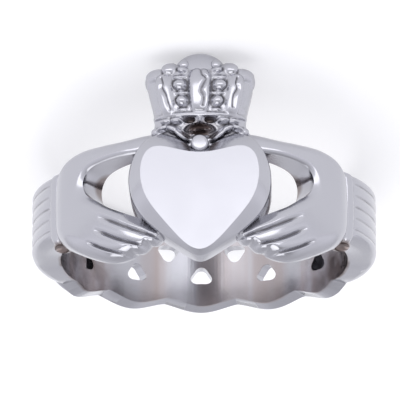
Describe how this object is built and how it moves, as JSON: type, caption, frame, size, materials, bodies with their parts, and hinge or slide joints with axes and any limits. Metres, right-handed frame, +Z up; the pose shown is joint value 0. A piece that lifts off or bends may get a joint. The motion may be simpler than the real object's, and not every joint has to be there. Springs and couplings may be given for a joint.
{
  "type": "claddagh heart ring",
  "caption": "Finger ring with two hands that hold a heart under a crown, on a band with an open plait round the back.",
  "frame": {"origin": "on the axis of the finger hole, at the middle of the band", "axes": "the ring lies on its side with the crown down; -Y is towards the heart, +Z is up, and the finger hole's axis leans 15.1 degrees from +Z towards +Y"},
  "size_m": [0.0218, 0.0242, 0.0129],
  "materials": {
    "polished_steel": "polished, with soft recesses"
  },
  "bodies": {
    "root": {"ring": "polished_steel"}
  },
  "joints": []
}
